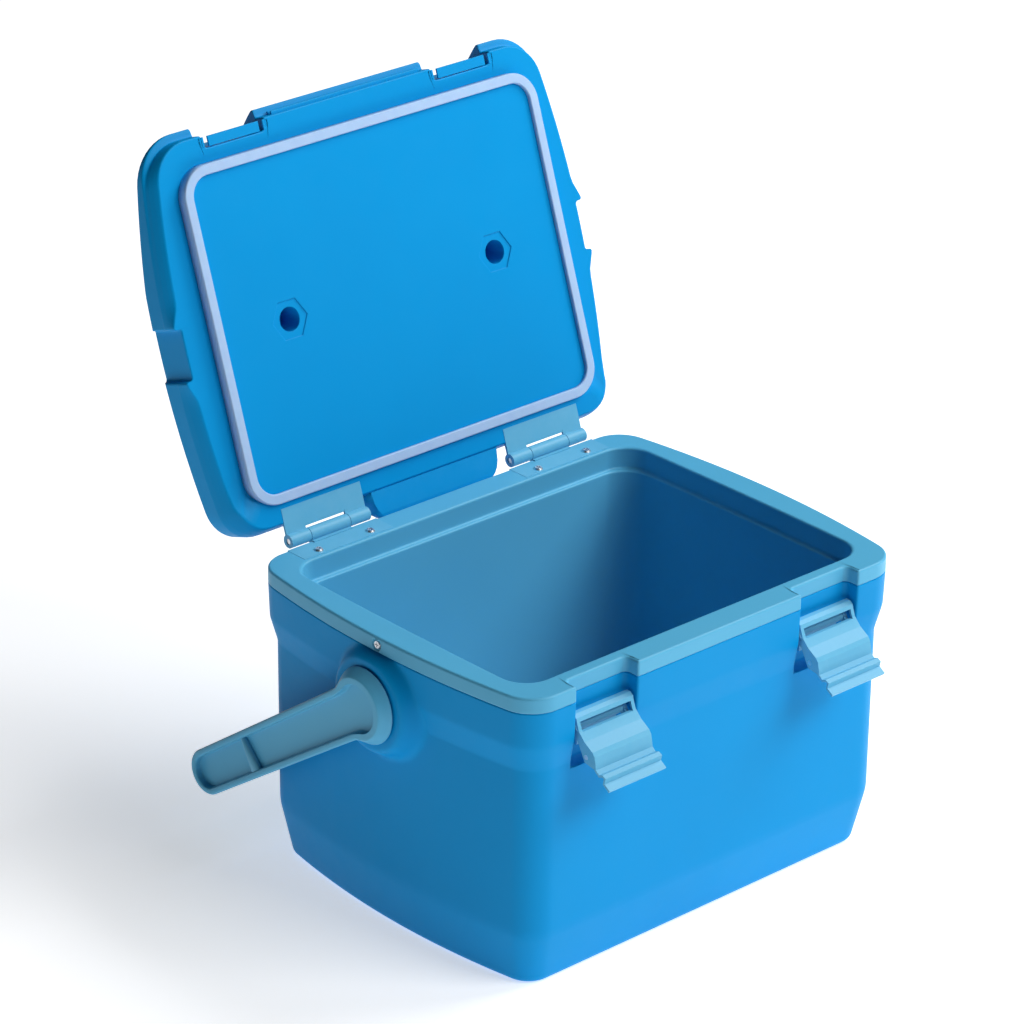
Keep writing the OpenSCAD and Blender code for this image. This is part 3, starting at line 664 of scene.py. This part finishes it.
def lidRing(h, tuck=0, soft=0.45):
    s = lidSize
    level = max(h, s["margin"] + 0.01)
    side, front = (softLevel(s["levels"], level, k, soft) for k in (1, 2))
    shared = {
        "bow": s["bow"], "r": s["corner"] - side / 2, "frontR": s["frontCorner"] - side * 0.8,
        "mid": (s["rear"] + s["front"]) / 2}
    deep = s["rear"] - s["front"]
    plain = planRing(lidColumns, {
        **shared, "w": s["w"] - 2 * side, "d": deep - 2 * side, "inset": tuck,
        "front": max(0, -s["front"] - front - s["notchBack"])})
    cut = planRing(lidColumns, {
        **shared, "w": s["w"], "d": deep - 2 * side, "side": s["w"] / 2 + s["bow"] - s["channelX"]})
    ring = []
    for (x, y), (cutX, _) in zip(plain, cut):
        away = abs(y - s["channelMid"])
        if abs(x) > s["sideFrom"] and away < s["sideReach"]:
            ear = ramp(s["earLong"], 0, away - s["channelHalf"]) * side if h < s["earTop"] else 0
            x = math.copysign(min(abs(x) + ear, abs(cutX) - tuck), x)
        y += (front - side) * min(max((s["frontFrom"] - y) / s["frontBlend"], 0), 1)
        blend = min(max((s["rearBlend"] - h) / (s["rearBlend"] - s["margin"]), 0), 1)
        fall = max(s["fallFrom"] - y, 0) * s["fallSlope"] * alongLevels(s["fall"], h, 1)
        ring.append((x, y, h + (marginAt(x, y) - s["margin"]) * blend - fall))
    return ring


def padRing(out, h=None):
    # round the seal's seat; h=None follows the margin
    ring = {
        "w": sealSize["outerW"] + 2 * out, "d": sealSize["outerD"] + 2 * out,
        "r": sealSize["outerR"] + out, "mid": lidSize["panMid"]}
    return [(x, y, marginAt(x, y) if h is None else h) for x, y in planRing(lidColumns, ring)]


def lidSkin():
    s = lidSize
    panHole = {"w": s["panW"] + 0.3, "d": s["panD"] + 0.3, "r": s["panR"], "mid": s["panMid"]}
    seat, tuck = s["seat"], s["seatTuck"]
    rings = [[(x, y, h) for x, y in planRing(lidColumns, panHole)] for h in (s["holeDeep"], seat)]
    rings += [padRing(-tuck, seat), padRing(-tuck), padRing(3)]
    rings.append(lidRing(s["margin"], 2.4))
    for drop, inset in reversed(rounding(s["lipRound"], 4)):
        rings.append(lidRing(s["margin"] + drop, inset))
    for h in rowHeights(s["rows"]):
        rings.append(lidRing(h))
    for h in spread(*s["topRows"]):
        rings.append(lidRing(h, soft=0.8))
    top = [(x, y) for x, y, _ in lidRing(s["h"], soft=0.01)]
    for inset in (0, 9):
        rings.append([(x, y, s["h"]) for x, y in insetLoop(top, inset)])
    return loftMesh("lidShell", rings, capStart=False)


keeperSize = {
    "half": 18.9, "post": [21.95, 23.6], "front": -241.2, "rear": -235, "low": 4.2, "high": 5.5, "soft": 0.3}
gripSize = {"half": 57, "front": -244.4, "rear": -241, "lows": [6.3, 9.7], "thick": 1.3, "soft": 0.5}


def lidTongues():
    # the two keepers that the latches pull on, with a post at either end, and the finger rails
    s, grip = keeperSize, gripSize
    made = []
    for side in (-1, 1):
        mid = side * shellSize["recessMid"]
        near, far = s["post"]
        for low, high in ((-s["half"], s["half"]), (-far, -near), (near, far)):
            made.append(softBox(
                "keeper", (mid + low, s["front"], s["low"]), (mid + high, s["rear"], s["high"]), s["soft"]))
    for low in grip["lows"]:
        made.append(softBox(
            "gripRail", (-grip["half"], grip["front"], low),
            (grip["half"], grip["rear"], low + grip["thick"]), grip["soft"]))
    return made


lidShell = joinPieces("lidShell", [lidSkin()] + lidTongues())
lidShell.matrix_world = lidPlace
weighNormals(lidShell)
place(lidShell, "lid", "azure_plastic", azurePlastic, "lid_shell")


# the rear stop: a rounded tongue between the hinges that meets the back wall

stopSize = {
    "flare": 4, "taper": 8, "low": 1, "middle": 6, "high": 15, "top": 21,
    # place behind the hinge line, half width, how far the faces draw in
    "ends": [[-10.5, 50, 0], [-3, 49, 0], [1, 47.5, 0], [4, 45.2, 0], [6, 42.6, 0.1], [7.4, 40, 0.5],
             [8.4, 37.5, 1.2], [9, 35, 2.2]]}


def lidStop():
    s = stopSize
    rings = []
    for y, half, draw in s["ends"]:
        low, high = s["low"] + draw, s["high"]
        wide, narrow = half + s["flare"], half - s["taper"]
        outline = [(-half, low), (half, low), (wide, s["middle"]), (half, high), (narrow, s["top"] - draw)]
        outline += [(-narrow, s["top"] - draw), (-half, high), (-wide, s["middle"])]
        rings.append([(x, y, z) for x, z in outline])
    return loftMesh("lidStop", rings)


lidStopPiece = lidStop()
lidStopPiece.matrix_world = lidPlace
weighNormals(lidStopPiece)
place(lidStopPiece, "lid", "azure_plastic", azurePlastic)


# the lid leaves' own edge in front of the middle knuckle

leafLipSize = {
    "mid": 87.5, "half": 15.2, "front": -6.9, "rear": -5.5, "low": 0.05, "high": 1.55, "soft": 0.25}


def leafLips():
    s = leafLipSize
    made = []
    for mid in (-s["mid"], s["mid"]):
        low, high = (mid - s["half"], s["front"], s["low"]), (mid + s["half"], s["rear"], s["high"])
        made.append(softBox("leafLip", low, high, s["soft"]))
    return made


leafLip = joinPieces("leafLip", leafLips())
leafLip.matrix_world = lidPlace
place(leafLip, "lid", "sky_plastic", skyPlastic)
print("lid shell made")


# ---- lid pan with its two screw wells ----

panSize = {"wellX": 80.6, "wellR": 7.25, "wellDeep": 18, "hexR": 13, "hexDeep": 0.7, "t": 2.5, "edge": 0.5}


def circle(x, y, r, z, count):
    turns = [2 * math.pi * i / count for i in range(count)]
    return [(x + r * math.cos(a), y + r * math.sin(a), z) for a in turns]


def roundedRect(w, d, r, z, steps=10, midY=0):
    points = []
    for cx, cy, start in ((1, -1, -90), (1, 1, 0), (-1, 1, 90), (-1, -1, 180)):
        for i in range(steps + 1):
            a = math.radians(start + 90 * i / steps)
            points.append((
                cx * (w / 2 - r) + r * math.cos(a), cy * (d / 2 - r) + r * math.sin(a) + midY, z))
    return points


def panSkin():
    s, lid = panSize, lidSize
    y = lid["panMid"]
    plate = loftMesh("lidPan", [
        roundedRect(lid["panW"], lid["panD"], lid["panR"], z, midY=y) for z in (0.0, s["t"])])
    for side in (-1, 1):
        x = side * s["wellX"]
        sleeve = [circle(x, y, s["wellR"] + 1.6, z, 48) for z in (s["t"] - 0.6, s["wellDeep"] + 1.4)]
        cuts = [
            (loftMesh("sleeve", sleeve), "UNION"),
            (loftMesh("hexCut", [circle(x, y, s["hexR"], z, 6) for z in (-1, s["hexDeep"])]), "DIFFERENCE"),
            (loftMesh("wellCut", [
                circle(x, y, s["wellR"], z, 48) for z in (-1, s["wellDeep"])]), "DIFFERENCE")]
        for cutter, operation in cuts:
            cutPiece(plate, cutter, operation)
    softenEdges(plate, s["edge"], 38, segments=3)
    return plate


def cutPiece(piece, cutter, operation):
    modifier = addModifier(piece, "BOOLEAN", "cut", object=cutter, operation=operation, solver="EXACT")
    bpy.context.view_layer.update()
    depsgraph = bpy.context.evaluated_depsgraph_get()
    mesh = bpy.data.meshes.new_from_object(piece.evaluated_get(depsgraph))
    piece.modifiers.remove(modifier)
    piece.data = mesh
    bpy.data.objects.remove(cutter)


lidPan = panSkin()
lidPan.matrix_world = lidPlace
weighNormals(lidPan)
place(lidPan, "lid", "azure_plastic", azurePlastic, "lid_pan")


# ---- seal ----

def sealSkin():
    # a flat-topped band; its outer wall runs down to the margin
    s = sealSize
    rings = [[
        (x, y, marginAt(x, y) + 0.2) for x, y, _ in roundedRect(
            s["outerW"], s["outerD"], s["outerR"], 0, 14, lidSize["panMid"])]]
    for inset, z in s["profile"]:
        rings.append(roundedRect(
            s["outerW"] - 2 * inset, s["outerD"] - 2 * inset, s["outerR"] - inset, z, 14, lidSize["panMid"]))
    return loftMesh("lidSeal", rings, capStart=False, capEnd=False, closed=True)


lidSeal = sealSkin()
lidSeal.matrix_world = lidPlace
place(lidSeal, "lid", "seal_rubber", siliconeSeal, "lid_gasket")
print("pan and seal made")


# ---- handle: two arms and a grip bar, drawn level behind the pivot ----

handleJoint = joints["handle_swing"]
handleSize = {
    "drop": 35, "x0": 163.1, "x1": 170.3, "hubX": 162.7, "hubFace": 170.7, "hubR": 24, "hubFaceR": 18.8,
    "reach": 168.8, "half": 16, "endHalf": 14.2, "neck": 11, "edge": 1.7, "rim": 4, "deep": 4.4,
    # soft corner round the recess floor: height over it, inset round the hub, inset along the arm
    "corner": [[0.8, 0.2, 0.4], [0.2, 0.6, 0.8], [0, 1.4, 1.5]],
    # the bar thickens over gripSwell from either end, where a collar of length gripCollar flares
    "gripR": 13, "gripEndR": 11.5, "gripSwell": 45, "gripCollar": 4, "gripFlare": 0.5,
    "rib": [(120.4, 12), (116, -12), (124.5, -12), (121.8, 12)]}
handlePlace = Matrix.Translation(Vector(handleJoint["pos_m"])) @ Matrix.Rotation(
    -math.radians(handleSize["drop"]), 4, "X")


def armOutline(hubR, inset):
    # half outline of an arm, [along, across], from behind the hub to the far end
    s = handleSize
    half, end, neck = s["half"] - inset, s["endHalf"] - inset, s["neck"] + inset
    r = hubR
    slope = (half - end) / s["reach"]
    along = math.sqrt(max((r + neck) ** 2 - (half + neck) ** 2, 0))
    start = math.atan2(half + neck, along)
    points = [(r * math.cos(a), r * math.sin(a)) for a in [lerp(math.pi, start, i / 22) for i in range(23)]]
    turns = [lerp(start, math.pi / 2, i / 7) for i in range(1, 8)]
    points += [(along - neck * math.cos(a), half + neck - neck * math.sin(a)) for a in turns]
    points += [(lerp(along, s["reach"], t), half - slope * lerp(along, s["reach"], t))
               for t in (0.15, 0.3, 0.45, 0.6, 0.75, 0.9)]
    turns = [math.pi / 2 * (1 - i / 12) for i in range(13)]
    points += [(s["reach"] + end * math.cos(a), end * math.sin(a)) for a in turns]
    return points


def armRing(x, hubR, inset):
    half = armOutline(hubR, inset)
    loop = half + [(u, -v) for u, v in reversed(half[1:-1])]
    return [(x, u, v) for u, v in loop]


def armSkin():
    s = handleSize
    e = s["edge"]

    def hubAt(x):
        return lerp(s["hubR"], s["hubFaceR"], (x - s["hubX"]) / (s["hubFace"] - s["hubX"]))

    rings = []
    for drop, inset in reversed(rounding(1.0, 3)):
        x = s["x0"] + drop
        rings.append(armRing(x, hubAt(x) - inset, inset))
    for drop, inset in rounding(e, 4):
        x = s["x1"] - drop
        rings.append(armRing(x, hubAt(x) - inset * 0.4, inset))
    rings.append(armRing(s["x1"], hubAt(s["x1"]) - 1.6, s["rim"] - e))
    for drop, inset in reversed(rounding(1.5, 4)):
        mouth = s["rim"] + 0.4 - inset
        rings.append(armRing(s["x1"] - drop, s["hubFaceR"] - s["rim"] + 1.6 - inset, mouth))
    for up, hubIn, inset in s["corner"]:
        rings.append(armRing(s["x1"] - s["deep"] + up, s["hubFaceR"] - s["rim"] - hubIn, s["rim"] + inset))
    return rings


def handleSkin():
    s = handleSize
    rings = armSkin()
    low, high = s["x1"] - s["deep"] - 0.5, s["x1"] - 1.2
    rib = [[(x, u, v) for u, v in s["rib"]] for x in (low, high)]
    arms = []
    for skin in (rings, rib):
        arms.append(loftMesh("arm", skin))
        arms.append(loftMesh("arm", [[(-x, u, v) for x, u, v in ring] for ring in skin]))
    barRows = []
    end = s["x0"] + 1
    for x in spread(-end, end, 6):
        near = end - abs(x)
        r = lerp(s["gripEndR"], s["gripR"], min(1, near / s["gripSwell"]) ** 0.5)
        r = max(r, s["gripR"] - near * s["gripFlare"]) if near < s["gripCollar"] else r
        barRows.append(circlePoints(x, s["reach"], r))
    arms.append(loftMesh("grip", barRows))
    return joinPieces("handleBail", arms)


def circlePoints(x, along, r):
    turns = [2 * math.pi * i / 48 for i in range(48)]
    return [(x, along + r * math.cos(a), r * math.sin(a)) for a in turns]


handleBail = handleSkin()
handleBail.matrix_world = handlePlace
weighNormals(handleBail)
place(handleBail, "handle", "sky_plastic", skyPlastic, "handle_bail")
print("handle made")


# ---- latch levers ----

for side in ("left", "right"):
    softenEdges(frame["nodes"]["latch_" + side + "_lever"], 0.35, 30)
print("levers made")


# ---- CAD nodes that stay ----

keptNodes = [
    (azurePlastic, ["fill_plug"]),
    (skyPlastic, [
        "hinge_left_body_leaf", "hinge_left_lid_leaf", "hinge_right_body_leaf", "hinge_right_lid_leaf",
        "latch_left_bracket", "latch_right_bracket", "latch_left_link", "latch_right_link",
        "latch_left_lever", "latch_right_lever"]),
    (zincSteel, [
        "liner_screws", "lid_screws", "hinge_left_pin", "hinge_right_pin", "hinge_left_screws",
        "hinge_right_screws", "handle_left_stud", "handle_right_stud", "latch_left_screws",
        "latch_right_screws", "latch_left_base_pin", "latch_right_base_pin", "latch_left_lever_pin",
        "latch_right_lever_pin"]),
    (naturalNylon, ["handle_left_washer", "handle_right_washer"]),
    (blownFoam, ["insulation_core", "lid_insulation"])]
bevelled = ("leaf", "bracket", "link")
for material, names in keptNodes:
    for name in names:
        node = frame["nodes"][name]
        node.data.materials.clear()
        node.data.materials.append(material)
        if name.endswith(bevelled):
            softenEdges(node, 0.3, 40)
print("kept nodes finished")


# ---- floor, light and camera ----

stageLook = {"floorSize": 30, "floor": "#F6F7F8", "grainMm": 4, "glow": 0.55}


def studioFloor():
    material, tree = newMaterial("paperMattWhite")
    where = addNode(tree, "ShaderNodeTexCoord").outputs["Object"]
    tooth = addNode(tree, "ShaderNodeTexNoise", {
        "Vector": where, "Scale": perMetre(stageLook["grainMm"])}).outputs["Fac"]
    skin = addNode(tree, "ShaderNodeMix", {
        "Factor": tooth, "A": linear(stageLook["floor"]), "B": linear("#FFFFFF")}, data_type="RGBA")
    shader = addNode(tree, "ShaderNodeBsdfPrincipled", {
        "Base Color": skin.outputs["Result"], "Roughness": 0.9, "Specular IOR Level": 0.1,
        "Emission Color": linear("#FFFFFF"), "Emission Strength": stageLook["glow"]})
    addNode(tree, "ShaderNodeOutputMaterial", {"Surface": shader.outputs[0]})
    made = bmesh.new()
    bmesh.ops.create_grid(made, x_segments=2, y_segments=2, size=stageLook["floorSize"] / 2)
    floor = finishMesh("paperFloor", made)
    floor.data.materials.append(material)


def areaLight(name, at, aim, size, power):
    data = bpy.data.lights.new(name, "AREA")
    data.shape = "RECTANGLE"
    data.size, data.size_y = size
    data.energy = power
    light = bpy.data.objects.new(name, data)
    light.location = at
    light.rotation_euler = (Vector(aim) - Vector(at)).to_track_quat("-Z", "Y").to_euler()
    bpy.context.scene.collection.objects.link(light)


def studioWorld(strength):
    world = bpy.data.worlds.new("studio")
    world.use_nodes = True
    world.node_tree.nodes.clear()
    glow = addNode(world.node_tree, "ShaderNodeBackground", {
        "Color": linear("#F4F8FF"), "Strength": strength})
    addNode(world.node_tree, "ShaderNodeOutputWorld", {"Surface": glow.outputs[0]})
    bpy.context.scene.world = world


studioFloor()
studioWorld(0.02)
# soft boxes in metres and watts: in front to the right, and high at the right
areaLight("key", (1.0, -2.4, 2.6), (0, 0, 0.15), (1.8, 1.4), 61)
areaLight("sideSoft", (1.8, -0.5, 2.1), (0, 0, 0.1), (1.4, 1.4), 56)
bpy.context.scene.view_settings.view_transform = "Standard"

cameraView = {
    "at": (-1.698, -1.800, 1.380), "back": (-0.6107, -0.6682, 0.4250), "roll": 0.67, "lens": 165.66}


def makeCamera():
    back = Vector(cameraView["back"]).normalized()
    right = Vector((0, 0, 1)).cross(back).normalized()
    up = back.cross(right)
    turn = math.radians(cameraView["roll"])
    rightRolled = math.cos(turn) * right + math.sin(turn) * up
    upRolled = math.cos(turn) * up - math.sin(turn) * right
    data = bpy.data.cameras.new("camera")
    data.lens, data.sensor_width = cameraView["lens"], 36
    data.clip_end = 100
    camera = bpy.data.objects.new("camera", data)
    axes = Matrix((rightRolled, upRolled, back)).transposed().to_4x4()
    camera.matrix_world = Matrix.Translation(Vector(cameraView["at"])) @ axes
    bpy.context.scene.collection.objects.link(camera)
    bpy.context.scene.camera = camera


makeCamera()
print("studio made")
